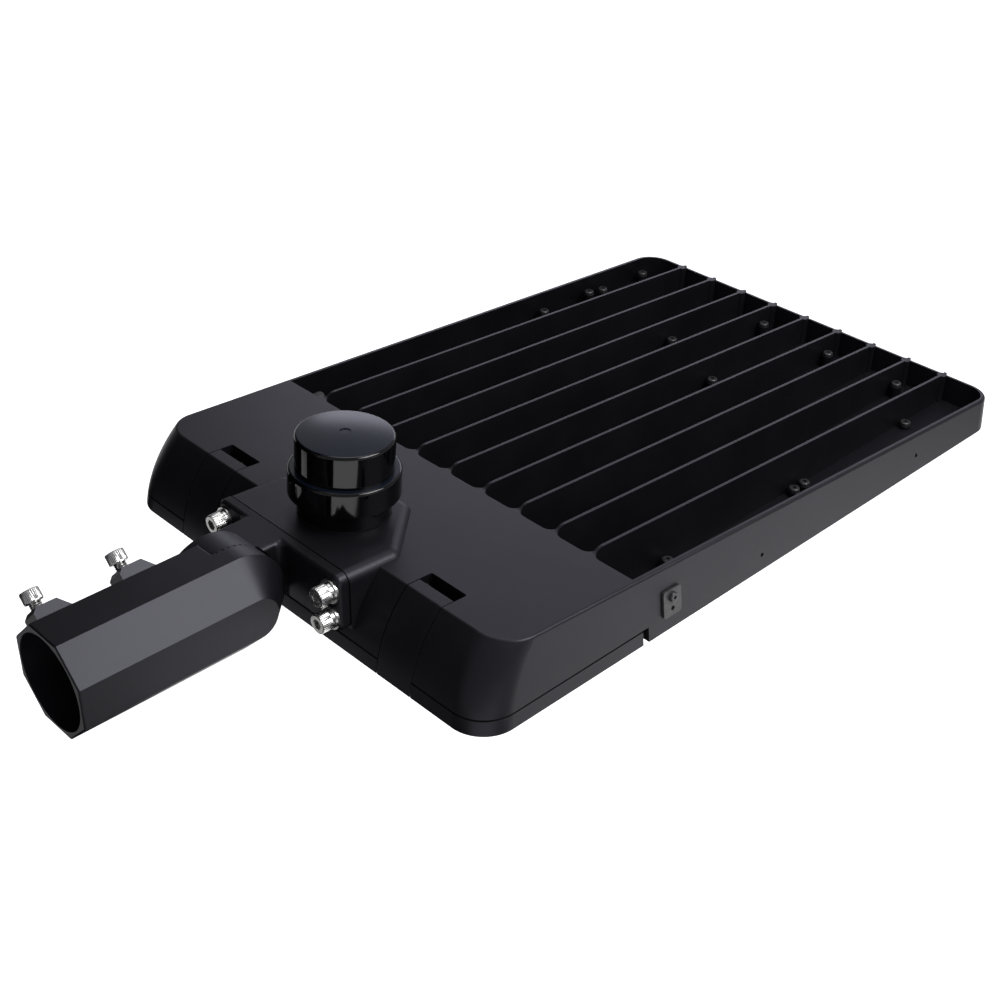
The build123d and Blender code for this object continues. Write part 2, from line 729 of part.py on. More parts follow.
def facet_boss(x):
    """Raised pad round a set screw, with a bevel towards the mouth and a ramp towards the knuckle."""
    sunk = (APOTHEM - SOCKET_D / 2) / 2
    outline = (
        (-FACET_BOSS_BACK, -sunk),
        (-FACET_BOSS_BACK, FACET_BOSS_H - FACET_BOSS_BEVEL),
        (FACET_BOSS_BEVEL - FACET_BOSS_BACK, FACET_BOSS_H),
        (FACET_BOSS_FRONT - FACET_BOSS_RAMP, FACET_BOSS_H),
        (FACET_BOSS_FRONT, 0),
        (FACET_BOSS_FRONT, -sunk),
    )
    across = (0, -sqrt(0.5), sqrt(0.5))
    place = Plane(origin=facet_point(x, APOTHEM), x_dir=(1, 0, 0), z_dir=across)
    face = make_face(Polyline(*outline, close=True))
    return extrude(place * face, FACET_BOSS_W / 2, both=True)


def slip_fitter_tube():
    """Octagonal socket for the pole's tenon, with the near half of the knuckle at its end."""
    section = Plane.YZ * RegularPolygon(APOTHEM, 8, major_radius=False, rotation=360 / 16)
    tube = extrude(section, PIVOT_X)
    tube = chamfer(tube.faces().sort_by(Axis.X)[0].edges(), MOUTH_CHAMFER)
    far_half = block((-FAR, -KNUCKLE_GAP / 2, -FAR), (FAR, FAR, FAR))
    tube -= far_half & pivot_rod(-FAR, 2 * (APOTHEM + KNUCKLE_CLEARANCE), FAR)
    tube = tube.fuse(knuckle_half(-1, HALF_FLAT), *[facet_boss(x) for x in SET_SCREW_X])
    tube -= rod((-PAST, 0, 0), (1, 0, 0), SOCKET_D, SOCKET_DEPTH + PAST)
    tube -= pivot_rod(-PIVOT_GRIP - THREAD_FIT, PIVOT_BOLT_D + 2 * THREAD_FIT, PAST)
    hole = SET_SCREW_D + 2 * PIN_CLEARANCE
    reach = FACET_BOSS_TOP + PAST
    holes = [rod(facet_point(x, reach), FACET_IN, hole, reach - SOCKET_D / 4) for x in SET_SCREW_X]
    return tube - group(holes) - serrations(-1)


def set_screw(x):
    """Screw that is driven down onto the tenon, drawn with its tip just inside the wall."""
    length = SET_SEAT - SOCKET_D / 2 - SET_TIP_RECESS
    start = facet_point(x, SET_SEAT)
    return socket_screw(start, FACET_IN, SET_SCREW_D, SET_HEAD_D, SET_HEAD_H, SET_HEX, length)


def pivot_bolt():
    """Bolt that holds the two halves of the knuckle together."""
    seat = PIVOT_SEAT_Y + KNUCKLE_GAP + PIVOT_WASHER_T
    start = (PIVOT_X, seat, 0)
    length = seat + PIVOT_GRIP
    return socket_screw(start, (0, -1, 0), PIVOT_BOLT_D, PIVOT_HEAD_D, PIVOT_HEAD_H, PIVOT_HEX, length)


def pivot_washer():
    """Washer under the head of the pivot bolt."""
    start = (PIVOT_X, PIVOT_SEAT_Y + KNUCKLE_GAP, 0)
    return ring(start, (0, 1, 0), PIVOT_WASHER_D, PIVOT_BOLT_D + 2 * THREAD_FIT, PIVOT_WASHER_T)


def flange_plate(x, thickness, margin):
    """Plate of the flange's outline, drawn in by a margin."""
    width = 2 * (FLANGE_HALF - margin)
    height = FLANGE_TOP - FLANGE_BOTTOM - 2 * margin
    plan = RectangleRounded(width, height, FLANGE_CORNER - margin)
    middle = (x, 0, (FLANGE_TOP + FLANGE_BOTTOM) / 2)
    return extrude(Plane(origin=middle, x_dir=(0, 1, 0), z_dir=(1, 0, 0)) * plan, thickness)


def bolt_holes(clearance):
    """Holes for the flange bolts, right through the flange and its gasket."""
    span = FLANGE_T + FLANGE_GASKET_T + 2 * PAST
    return group(
        rod((FLANGE_X - PAST, y, z), (1, 0, 0), BOLT_D + clearance, span)
        for y, z in bolt_places()
    )


def knuckle_bracket():
    """Far half of the knuckle, with the neck and the flange that carries the head."""
    flange = flange_plate(FLANGE_X, FLANGE_T, 0.0)
    flange = fillet(flange.faces().sort_by(Axis.X)[0].edges(), FLANGE_EDGE)
    neck = block((PIVOT_X, NECK_NEAR_Y, NECK_BOTTOM), (FLANGE_X + FLANGE_T / 2, NECK_FAR_Y, FLANGE_TOP))
    neck = fillet([e for e in neck.edges().filter_by(Axis.X)], NECK_EDGE)
    near_half = block((-FAR, -FAR, -FAR), (FAR, KNUCKLE_GAP / 2, FAR))
    neck -= near_half & pivot_rod(-FAR, 2 * (APOTHEM + KNUCKLE_CLEARANCE), FAR)
    bracket = flange + neck
    roots = [e for e in bracket.edges().filter_by(Axis.Z) if abs(e.center().X - FLANGE_X) < THREAD_FIT]
    roots = [e for e in roots if abs(e.center().Y) < FLANGE_HALF - FLANGE_CORNER - FLANGE_EDGE]
    bracket = fillet(roots, NECK_ROOT) + knuckle_half(1, BRACKET_RIM_Y)
    bracket -= pivot_rod(-PAST, PIVOT_BOLT_D + 2 * PIN_CLEARANCE, FAR)
    bracket -= pivot_rod(PIVOT_SEAT_Y, PIVOT_WASHER_D + 2 * KNUCKLE_CLEARANCE, FAR)
    return bracket - bolt_holes(BOLT_HOLE_CLEARANCE) - serrations(1)


def flange_gasket():
    """Thin seal between the flange and the boss."""
    gasket = flange_plate(FLANGE_X + FLANGE_T, FLANGE_GASKET_T, FLANGE_GASKET_INSET)
    return gasket - bolt_holes(BOLT_HOLE_CLEARANCE)


def flange_hardware():
    """Flange bolts, spring washers and flat washers, four of each."""
    flat_x = FLANGE_X - FLAT_WASHER_T
    spring_x = flat_x - SPRING_WASHER_T
    length = BOSS_FACE_X + BOLT_REACH - THREAD_FIT - spring_x
    inner = BOLT_D + 2 * THREAD_FIT
    bolts, springs, flats = [], [], []
    for y, z in bolt_places():
        start = (spring_x, y, z)
        bolts.append(socket_screw(start, (1, 0, 0), BOLT_D, BOLT_HEAD_D, BOLT_HEAD_H, BOLT_HEX, length))
        spring = ring(start, (1, 0, 0), SPRING_WASHER_D, inner, SPRING_WASHER_T)
        slit = Pos(spring_x + SPRING_WASHER_T / 2, y, z + SPRING_WASHER_D / 2)
        springs.append(spring - slit * Box(2 * SPRING_WASHER_T, SPRING_WASHER_SLIT, SPRING_WASHER_D))
        flats.append(ring((flat_x, y, z), (1, 0, 0), FLAT_WASHER_D, inner, FLAT_WASHER_T))
    return group(bolts), group(springs), group(flats)


def driver_door():
    """Shallow tray that closes the compartment from below."""
    door = OUTER & before(DOOR_END_X) & slab(-FAR, DOOR_EDGE_Z)
    door -= (head_form(DOOR_WALL) & before(DOOR_END_X - DOOR_WALL)) - pockets(DOOR_WALL)
    reach = hypot(LATCH_PIVOT_X - END_FOOT_X, LATCH_PIVOT_Z - HEAD_BOTTOM) + LATCH_SWEEP
    door -= pockets(0.0) & slab(HEAD_BOTTOM + DOOR_WALL, FAR)
    door -= pockets(0.0) & before(LATCH_PIVOT_X + reach)
    barrels = []
    for side in SIDES:
        y = side * HINGE_Y
        web = block(
            (DOOR_END_X - DOOR_WALL / 2, y - HINGE_DOOR_L / 2, HINGE_Z - HINGE_BARREL_R * HINGE_WEB_SHARE),
            (HINGE_X, y + HINGE_DOOR_L / 2, HINGE_Z + HINGE_BARREL_R * HINGE_WEB_SHARE),
        )
        barrels.append(web + hinge_rod(side, -HINGE_DOOR_L / 2, HINGE_DOOR_L, 2 * HINGE_BARREL_R))
    cuts = []
    relief = 2 * (HINGE_BARREL_R + HINGE_RELIEF)
    for side in SIDES:
        inner = HINGE_DOOR_L / 2
        run = HINGE_LUG_L + 2 * HINGE_SIDE_GAP
        cuts.append(hinge_rod(side, inner, run, relief))
        cuts.append(hinge_rod(side, -inner - run, run, relief))
        cuts.append(hinge_rod(side, -HINGE_DOOR_L, 2 * HINGE_DOOR_L, HINGE_PIN_D + 2 * PIN_CLEARANCE))
        cuts.append(latch_rod(side, LATCH_PIN_D + 2 * THREAD_FIT, LATCH_PIN_L))
    return door.fuse(*barrels) - group(cuts)


def door_gasket():
    """Seal on the door's rim, which also goes round the latch pockets."""
    inner = DOOR_WALL - GASKET_INSET
    rim = head_form(GASKET_INSET) & before(DOOR_END_X - GASKET_INSET)
    hollow = (head_form(inner) & before(DOOR_END_X - inner)) - pockets(inner)
    band = rim - hollow - pockets(GASKET_INSET)
    return band & slab(DOOR_EDGE_Z, HOUSING_EDGE_Z - GASKET_CLEARANCE)


def door_hinge_pins():
    """Pin of each door hinge, held in the tray's lugs."""
    length = HINGE_DOOR_L + 2 * (HINGE_SIDE_GAP + HINGE_LUG_L)
    return group(hinge_rod(side, -length / 2, length, HINGE_PIN_D) for side in SIDES)


def latch_rod(side, diameter, length):
    """Rod on a latch's pivot axis, centred on the latch."""
    start = (LATCH_PIVOT_X, side * LATCH_Y - length / 2, LATCH_PIVOT_Z)
    return rod(start, (0, 1, 0), diameter, length)


def latch(side):
    """Strap that lies flush in the end wall, with a lip to lift and a barrel to turn on."""
    half = LATCH_WIDTH / 2
    low = side * LATCH_Y - half
    high = side * LATCH_Y + half
    band = block((-FAR, low, -FAR), (LATCH_LIP_X, high, FAR))
    strap = (OUTER - head_form(LATCH_T)) & band
    strap -= block((LATCH_PIVOT_X - LATCH_BARREL_R, -FAR, -FAR), (FAR, FAR, LATCH_PIVOT_Z))
    web = block(
        (END_FOOT_X + LATCH_T / 2, low, LATCH_PIVOT_Z - LATCH_BARREL_R / 2),
        (LATCH_PIVOT_X, high, LATCH_PIVOT_Z + LATCH_BARREL_R / 2),
    )
    nub_y = side * (LATCH_Y - LATCH_NUB_SHIFT)
    nub_z = top_z(LATCH_LIP_X) - LATCH_T / 2
    nub = Pos(LATCH_LIP_X, nub_y, nub_z) * Sphere(LATCH_NUB_R)
    barrel = latch_rod(side, 2 * LATCH_BARREL_R, LATCH_WIDTH)
    hole = latch_rod(side, LATCH_PIN_D + 2 * PIN_CLEARANCE, LATCH_PIN_L)
    return strap.fuse(web, nub, barrel) - hole


def latch_pins():
    """Pin of each latch, held in the walls of the door's latch pocket."""
    return group(latch_rod(side, LATCH_PIN_D, LATCH_PIN_L) for side in SIDES)


def sector(inner, outer, start, arc, height):
    """Part of a round wall that covers an arc from a start angle."""
    wall = Cylinder(outer, height, arc_size=arc, align=NO_SHIFT) - Cylinder(inner, height, align=LOW)
    return Rot(0, 0, start) * wall


def blade_walls(clearance, twist, height):
    """Curved wall at each blade's place, grown by a clearance and drawn out by a twist."""
    margin = degrees(clearance / BLADE_R)
    inner = BLADE_R - BLADE_T / 2 - clearance
    outer = BLADE_R + BLADE_T / 2 + clearance
    walls = []
    for k in range(BLADES):
        start = 360 * k / BLADES - BLADE_ARC / 2 - margin
        arc = BLADE_ARC + twist + 2 * margin
        walls.append(sector(inner, outer, start, arc, height))
    return group(walls)


def screw_pair(radius):
    """Places of the two receptacle screws in the receptacle's plane."""
    return [Pos(0, side * radius, 0) for side in SIDES]


def receptacle_gasket():
    """Flat seal between the boss and the receptacle."""
    seal = Cylinder(RECEPTACLE_D / 2, RECEPTACLE_GASKET_T, align=LOW)
    seal -= Cylinder(WIRE_HOLE_D / 2, RECEPTACLE_GASKET_T, align=LOW)
    hole = Cylinder(RECEPTACLE_SCREW_D / 2 + THREAD_FIT, RECEPTACLE_GASKET_T, align=LOW)
    for place in screw_pair(RECEPTACLE_SCREW_R):
        seal -= place * hole
    return cap_plane(BOSS_RISE) * seal


def photocontrol_receptacle():
    """Socket with three curved slots for the cap's blades."""
    body = Cylinder(RECEPTACLE_D / 2, RECEPTACLE_H, align=LOW)
    body = fillet(body.edges().group_by(Axis.Z)[-1], RECEPTACLE_EDGE)
    body -= Pos(0, 0, RECEPTACLE_H - SLOT_DEPTH) * blade_walls(SLOT_CLEARANCE, CAP_TWIST, SLOT_DEPTH)
    hole = Cylinder(RECEPTACLE_SCREW_D / 2 + THREAD_FIT, RECEPTACLE_H, align=LOW)
    sink = RECEPTACLE_HEAD_H + CAP_GAP
    counterbore = Cylinder(RECEPTACLE_HEAD_D / 2 + CAP_GAP, sink, align=LOW)
    for place in screw_pair(RECEPTACLE_SCREW_R):
        body -= place * hole
        body -= place * Pos(0, 0, RECEPTACLE_H - sink) * counterbore
    return cap_plane(BOSS_RISE + RECEPTACLE_GASKET_T) * body


def receptacle_contacts():
    """Contact strip at the bottom of each slot."""
    strips = blade_walls(SLOT_CLEARANCE - THREAD_FIT, CAP_TWIST, CONTACT_T)
    return cap_plane(BOSS_RISE + RECEPTACLE_GASKET_T + RECEPTACLE_H - SLOT_DEPTH) * strips


def receptacle_screws():
    """Screws that hold the receptacle on the boss."""
    grip = RECEPTACLE_H - RECEPTACLE_HEAD_H - CAP_GAP
    length = grip + RECEPTACLE_GASKET_T + RECEPTACLE_SCREW_GRIP - THREAD_FIT
    seat = cap_plane(BOSS_RISE + RECEPTACLE_GASKET_T + grip)
    head = (RECEPTACLE_HEAD_D, RECEPTACLE_HEAD_H)
    screw = pan_screw((0, 0, 0), (0, 0, -1), RECEPTACLE_SCREW_D, *head, length)
    return group(seat * place * screw for place in screw_pair(RECEPTACLE_SCREW_R))


def shorting_cap():
    """Shell of the cap: a wide ring below a narrower drum with a slightly domed top."""
    ring_r = CAP_RING_D / 2
    drum_r = CAP_TOP_D / 2
    top = CAP_RING_H + CAP_TOP_H
    outline = make_face([
        Line((0, 0), (ring_r, 0)),
        Line((ring_r, 0), (ring_r, CAP_RING_H)),
        Line((ring_r, CAP_RING_H), (drum_r, CAP_RING_H)),
        Line((drum_r, CAP_RING_H), (drum_r, top - CAP_DOME)),
        ThreePointArc((drum_r, top - CAP_DOME), (drum_r / 2, top - CAP_DOME / 4), (0, top)),
        Line((0, top), (0, 0)),
    ])
    shell = revolve(Plane.XZ * outline, Axis.Z)
    rims = [e for e in shell.edges().filter_by(GeomType.CIRCLE) if e.center().Z > 0]
    outer_rims = [e for e in rims if e.center().Z < CAP_RING_H + CAP_EDGE and e.radius > drum_r + CAP_EDGE]
    top_rims = [e for e in rims if e.center().Z > CAP_RING_H + CAP_EDGE]
    shell = fillet(outer_rims + top_rims, CAP_EDGE)
    hollow = Cylinder(CAP_BASE_D / 2 + THREAD_FIT, top - CAP_DOME - CAP_WALL, align=LOW)
    mark = Pos(0, 0, top - CAP_MARK_DEPTH) * Cylinder(CAP_MARK_D / 2, PAST, align=LOW)
    return cap_plane(CAP_LEVEL) * (shell - hollow - mark)


def cap_base():
    """Disc in the mouth of the cap that carries the blades and the seal."""
    disc = Cylinder(CAP_BASE_D / 2, BLADE_ROOT, align=LOW)
    disc -= seal_ring(CAP_SEAL_T)
    disc -= blade_walls(THREAD_FIT, 0, BLADE_ROOT)
    return cap_plane(CAP_LEVEL) * disc


def seal_ring(height):
    """Ring of the cap's seal, which clears the blades."""
    ring_wall = Cylinder(CAP_SEAL_D / 2, height, align=LOW)
    return ring_wall - Cylinder(CAP_SEAL_D / 2 - CAP_SEAL_BAND, height, align=LOW)


def cap_seal():
    """Seal set in the underside of the cap's base."""
    return cap_plane(CAP_LEVEL) * seal_ring(CAP_SEAL_T)


def cap_blades():
    """Three curved blades that lock in the receptacle."""
    length = BLADE_DEPTH + CAP_GAP + BLADE_ROOT
    return cap_plane(CAP_LEVEL - CAP_GAP - BLADE_DEPTH) * blade_walls(0, 0, length)


def gear_plate():
    """Sheet that carries the electrical gear under the compartment's roof."""
    low = GEAR_PLATE_TOP - GEAR_PLATE_T
    near = (GEAR_PLATE_X[0], -GEAR_PLATE_HALF, low)
    plate = block(near, (GEAR_PLATE_X[1], GEAR_PLATE_HALF, GEAR_PLATE_TOP))
    hole = GEAR_SCREW_D + 2 * THREAD_FIT
    places = gear_places() + driver_screw_places()
    holes = [rod((x, y, low), (0, 0, 1), hole, GEAR_PLATE_T) for x, y in places]
    return plate - group(holes)


def gear_plate_screws():
    """Screws that hold the gear plate on the roof's posts."""
    low = GEAR_PLATE_TOP - GEAR_PLATE_T
    length = GEAR_PLATE_T + GEAR_SCREW_GRIP - THREAD_FIT
    return group(
        pan_screw((x, y, low), (0, 0, 1), GEAR_SCREW_D, GEAR_HEAD_D, GEAR_HEAD_H, length)
        for x, y in gear_places()
    )


def driver_screw_places():
    """X and Y of the screws through the ears of the driver."""
    reach = DRIVER_SIZE[1] / 2 + DRIVER_EAR / 2
    return [(DRIVER_XY[0], DRIVER_XY[1] + side * reach) for side in SIDES]


def hung_box(size, middle):
    """Box that hangs from the underside of the gear plate."""
    top = GEAR_PLATE_TOP - GEAR_PLATE_T
    return Pos(middle[0], middle[1], top - size[2] / 2) * Box(*size)


def led_driver():
    """Potted supply with an ear at each end."""
    case = hung_box(DRIVER_SIZE, DRIVER_XY)
    case = fillet(case.edges().filter_by(Axis.Y), DRIVER_EDGE)
    ears = hung_box((DRIVER_SIZE[0] / 2, DRIVER_SIZE[1] + 2 * DRIVER_EAR, DRIVER_EAR_T), DRIVER_XY)
    low = GEAR_PLATE_TOP - GEAR_PLATE_T - DRIVER_EAR_T
    hole = GEAR_SCREW_D + 2 * THREAD_FIT
    holes = [rod((x, y, low), (0, 0, 1), hole, DRIVER_EAR_T) for x, y in driver_screw_places()]
    return case + ears - group(holes)


def driver_screws():
    """Screws that hold the driver's ears on the gear plate."""
    low = GEAR_PLATE_TOP - GEAR_PLATE_T - DRIVER_EAR_T
    length = DRIVER_EAR_T + GEAR_PLATE_T
    return group(
        pan_screw((x, y, low), (0, 0, 1), GEAR_SCREW_D, GEAR_HEAD_D, GEAR_HEAD_H, length)
        for x, y in driver_screw_places()
    )


def surge_protector():
    """Sealed surge protector beside the driver."""
    case = hung_box(SURGE_SIZE, SURGE_XY)
    return fillet(case.edges().filter_by(Axis.Z), DRIVER_EDGE)


def terminal_block():
    """Row of terminals for the supply, with a screw pocket for each way."""
    body = hung_box(TERMINAL_SIZE, TERMINAL_XY)
    pitch = TERMINAL_SIZE[1] / TERMINAL_WAYS
    low = GEAR_PLATE_TOP - GEAR_PLATE_T - TERMINAL_SIZE[2]
    wells = []
    for k in range(TERMINAL_WAYS):
        y = TERMINAL_XY[1] + pitch * (k - (TERMINAL_WAYS - 1) / 2)
        wells.append(rod((TERMINAL_XY[0], y, low), (0, 0, 1), pitch / 2, TERMINAL_SIZE[2] / 2))
    return body - group(wells)


def wire_gland():
    """Gland in the wall between the compartment and the tray."""
    wall = TRAY_X - WALL
    stem = rod((wall - GLAND_NUT_T, GLAND_Y, GLAND_Z), (1, 0, 0), GLAND_D, WALL + GLAND_NUT_T + GLAND_REACH)
    stem = fillet(stem.edges().group_by(Axis.X)[-1], GLAND_D / 4)
    flat = RegularPolygon(GLAND_NUT / 2, 6, major_radius=False)
    nuts = []
    for x in (wall - GLAND_NUT_T, TRAY_X):
        nuts.append(Plane(origin=(x, GLAND_Y, GLAND_Z), z_dir=(1, 0, 0)) * extrude(flat, GLAND_NUT_T))
    return stem.fuse(*nuts)


def module_plate(x, y, margin, top, thickness):
    """Rounded plate of a light module's outline under a height, drawn in by a margin."""
    plan = RectangleRounded(MODULE_SIZE[0] - 2 * margin, MODULE_SIZE[1] - 2 * margin, LENS_CORNER)
    return Pos(x, y, top - thickness) * extrude(plan, thickness)


def led_places(x, y):
    """X and Y of every light source of one module."""
    columns = [LED_PITCH[0] * (k - (LED_COUNT[0] - 1) / 2) for k in range(LED_COUNT[0])]
    rows = [LED_PITCH[1] * (k - (LED_COUNT[1] - 1) / 2) for k in range(LED_COUNT[1])]
    return [(x + dx, y + dy) for dx in columns for dy in rows]


def lens_holes(x, y):
    """Screw holes through a module's lens plate and gasket."""
    low = HEAD_BOTTOM - BOARD_T - LENS_T
    inside = [
        (sx, sy) for sx, sy in lens_screw_places()
        if abs(sx - x) < MODULE_SIZE[0] / 2 and abs(sy - y) < MODULE_SIZE[1] / 2
    ]
    hole = LENS_SCREW_D + 2 * THREAD_FIT
    return group(rod((sx, sy, low), (0, 0, 1), hole, LENS_T + BOARD_T) for sx, sy in inside)


def led_boards():
    """Circuit board of each module, flat on the tray's floor."""
    return group(module_plate(x, y, BOARD_MARGIN, HEAD_BOTTOM, BOARD_T) for x, y in module_places())


def lens_gaskets():
    """Seal round each board."""
    seals = []
    for x, y in module_places():
        ring_plate = module_plate(x, y, 0, HEAD_BOTTOM, BOARD_T)
        inner = module_plate(x, y, BOARD_MARGIN - GASKET_CLEARANCE, HEAD_BOTTOM, BOARD_T)
        seals.append(ring_plate - inner - lens_holes(x, y))
    return group(seals)


def lens_plate(x, y):
    """Clear plate of one module with a domed lens over each light source."""
    top = HEAD_BOTTOM - BOARD_T
    bottom = top - LENS_T
    plate = module_plate(x, y, 0, top, LENS_T)
    ball_r = (LENS_DOME_R**2 + LENS_DOME_H**2) / (2 * LENS_DOME_H)
    dome = Pos(0, 0, ball_r - LENS_DOME_H) * Sphere(ball_r) & slab(-FAR, LENS_T / 2)
    places = led_places(x, y)
    domes = [Pos(sx, sy, bottom) * dome for sx, sy in places]
    wells = [rod((sx, sy, top), (0, 0, -1), 2 * LED_POCKET_R, LED_POCKET_DEPTH) for sx, sy in places]
    return plate.fuse(*domes) - group(wells) - lens_holes(x, y)


def lens_plates():
    """Lens plate of every module."""
    return group(lens_plate(x, y) for x, y in module_places())


def leds():
    """Light sources on the boards."""
    z = HEAD_BOTTOM - BOARD_T - LED_T / 2
    chip = Box(LED_SIZE, LED_SIZE, LED_T)
    return group(Pos(sx, sy, z) * chip for x, y in module_places() for sx, sy in led_places(x, y))


def lens_screws():
    """Screws that hold the lens plates on the tray's floor."""
    low = HEAD_BOTTOM - BOARD_T - LENS_T
    length = LENS_T + BOARD_T + LENS_SCREW_GRIP - THREAD_FIT
    return group(
        pan_screw((x, y, low), (0, 0, 1), LENS_SCREW_D, LENS_SCREW_HEAD_D, LENS_SCREW_HEAD_H, length)
        for x, y in lens_screw_places()
    )


def floor_screws():
    """Screws on the bosses of the tray's floor, between the fins."""
    length = FLOOR_SCREW_GRIP - THREAD_FIT
    return group(
        pan_screw(seat, (0, 0, -1), FLOOR_SCREW_D, FLOOR_HEAD_D, FLOOR_HEAD_H, length)
        for seat in floor_screw_seats()
    )


def side_clip(side):
    """Sheet tab on a side wall, with a screw above and a hole below."""
    tab = extrude(RectangleRounded(CLIP_SIZE[0], CLIP_SIZE[1], CLIP_CORNER), CLIP_SIZE[2])
    tab -= Pos(0, CLIP_HOLE_Z, 0) * Cylinder(CLIP_HOLE_D / 2, CLIP_SIZE[2], align=LOW)
    tab -= Pos(0, CLIP_SCREW_Z, 0) * Cylinder(CLIP_SCREW_D / 2 + THREAD_FIT, CLIP_SIZE[2], align=LOW)
    return side_plane(side, CLIP_X, CLIP_Z) * tab


def side_clip_screw(side):
    """Screw that holds a clip on its side wall."""
    length = CLIP_SIZE[2] + CLIP_SCREW_GRIP - THREAD_FIT
    seat = (0, CLIP_SCREW_Z, CLIP_SIZE[2])
    screw = pan_screw(seat, (0, 0, -1), CLIP_SCREW_D, CLIP_HEAD_D, CLIP_HEAD_H, length)
    return side_plane(side, CLIP_X, CLIP_Z) * screw


def pieces():
    """Every node of the light by name."""
    bolts, springs, flats = flange_hardware()
    casting = head_casting()
    compartment = casting & before(TRAY_X - WALL)
    walls = compartment & under_top()
    return {
        "slip_fitter_tube": slip_fitter_tube(),
        "pivot_bolt": pivot_bolt(),
        "pivot_washer": pivot_washer(),
        "set_screw_mouth": set_screw(SET_SCREW_X[0]),
        "set_screw_inner": set_screw(SET_SCREW_X[1]),
        "knuckle_bracket": knuckle_bracket(),
        "flange_gasket": flange_gasket(),
        "flange_bolts": bolts,
        "flange_spring_washers": springs,
        "flange_flat_washers": flats,
        "housing": parted(compartment - under_top(), before(POCKET_BACK_X)),
        "compartment_walls": walls - pockets(WALL),
        "latch_pockets": parted(walls & pockets(WALL), before(POCKET_BACK_X)),
        "heat_sink_tray": parted(casting - before(TRAY_X - WALL), slab(-FAR, FLOOR_TOP)),
        "cooling_fins": group(cooling_fin(y) for y in fin_places()),
        "receptacle_gasket": receptacle_gasket(),
        "photocontrol_receptacle": photocontrol_receptacle(),
        "receptacle_contacts": receptacle_contacts(),
        "receptacle_screws": receptacle_screws(),
        "shorting_cap": shorting_cap(),
        "cap_base": cap_base(),
        "cap_seal": cap_seal(),
        "cap_blades": cap_blades(),
        "gear_plate": gear_plate(),
        "gear_plate_screws": gear_plate_screws(),
        "led_driver": led_driver(),
        "driver_screws": driver_screws(),
        "surge_protector": surge_protector(),
        "terminal_block": terminal_block(),
        "wire_gland": wire_gland(),
        "led_boards": led_boards(),
        "leds": leds(),
        "lens_gaskets": lens_gaskets(),
        "lens_plates": lens_plates(),
        "lens_screws": lens_screws(),
        "floor_screws": floor_screws(),
        "side_clips": group(side_clip(side) for side in SIDES),
        "side_clip_screws": group(side_clip_screw(side) for side in SIDES),
        "driver_door": driver_door(),
        "door_gasket": door_gasket(),
        "door_hinge_pins": door_hinge_pins(),
        "latch_near": latch(-1),
        "latch_far": latch(1),
        "latch_pins": latch_pins(),
    }


os.makedirs("parts", exist_ok=True)
for name, shape in pieces().items():
    export_step(shape, f"parts/{name}.step")
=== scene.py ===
import json
from math import cos, pi, radians, sin, sqrt

import bpy
from mathutils import Matrix, Vector


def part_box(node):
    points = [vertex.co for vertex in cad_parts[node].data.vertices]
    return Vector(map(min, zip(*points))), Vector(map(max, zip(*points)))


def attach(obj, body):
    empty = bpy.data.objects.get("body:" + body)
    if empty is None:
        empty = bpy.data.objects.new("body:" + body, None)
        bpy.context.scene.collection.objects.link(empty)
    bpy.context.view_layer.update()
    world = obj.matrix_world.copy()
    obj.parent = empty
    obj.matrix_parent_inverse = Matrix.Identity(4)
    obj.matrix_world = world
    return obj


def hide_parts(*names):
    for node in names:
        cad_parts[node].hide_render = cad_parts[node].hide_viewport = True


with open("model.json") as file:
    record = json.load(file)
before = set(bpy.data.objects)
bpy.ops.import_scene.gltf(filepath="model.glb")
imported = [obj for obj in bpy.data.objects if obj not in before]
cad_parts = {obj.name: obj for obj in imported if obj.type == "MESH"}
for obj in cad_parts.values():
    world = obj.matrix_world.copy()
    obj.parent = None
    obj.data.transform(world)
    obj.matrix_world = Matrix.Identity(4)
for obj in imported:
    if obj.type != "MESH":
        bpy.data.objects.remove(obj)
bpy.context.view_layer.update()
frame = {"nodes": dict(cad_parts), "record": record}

NODES = frame["nodes"]
JOINTS = {joint["name"]: joint for joint in frame["record"]["behaviour"]["joints"]}

WHITE = (1.0, 1.0, 1.0)
BLACK = (0.0, 0.0, 0.0)

# Camera: where it stands, what it looks at, its roll in degrees, and its focal length in the picture's pixels
IMAGE_WIDTH = 1000
IMAGE_HEIGHT = 1001
FOCAL_PIXELS = 1573.6
SENSOR_MM = 36.0
CAMERA_PLACE = (-0.30033, -0.65792, 0.57343)
CAMERA_TARGET = (0.31563, -0.03703, 0.0)
CAMERA_ROLL = 1.217
CAMERA_NEAR = 0.01

# Floor and surroundings: the floor is white to the eye and in reflections, and takes a soft shadow
FLOOR_Z = -0.55
FLOOR_RADIUS = 5.0
FLOOR_SIDES = 96
FLOOR_COLOUR = (0.93, 0.93, 0.93)
FLOOR_ROUGH = 0.9
FLOOR_GLOW = 0.86
WORLD_COLOUR = (0.3, 0.3, 0.315)

# Soft boxes: place, what they look at, width and height in metres, brightness as white is 1, and any tint
LAMPS = {
    "back": {"place": (1.87, 1.1, 0.6), "target": (0.3, 0.0, 0.0), "size": (1.5, 0.45), "bright": 1.8,
             "tint": (0.93, 0.93, 1.1)},
    "key": {"place": (0.6, -0.76, 0.87), "target": (0.09, -0.02, 0.02), "size": (0.76, 0.56), "bright": 8.4},
    "top": {"place": (0.7, 0.3, 1.7), "target": (0.45, 0.0, 0.0), "size": (1.0, 0.8), "bright": 2.0},
    "front": {"place": (-0.4, -0.75, -0.46), "target": (0.2, 0.0, 0.05), "size": (0.95, 0.4), "bright": 1.7},
    "bolts": {"place": (-0.2, 0.51, -0.42), "target": (0.15, 0.0, 0.0), "size": (0.24, 0.3), "bright": 0.7},
}

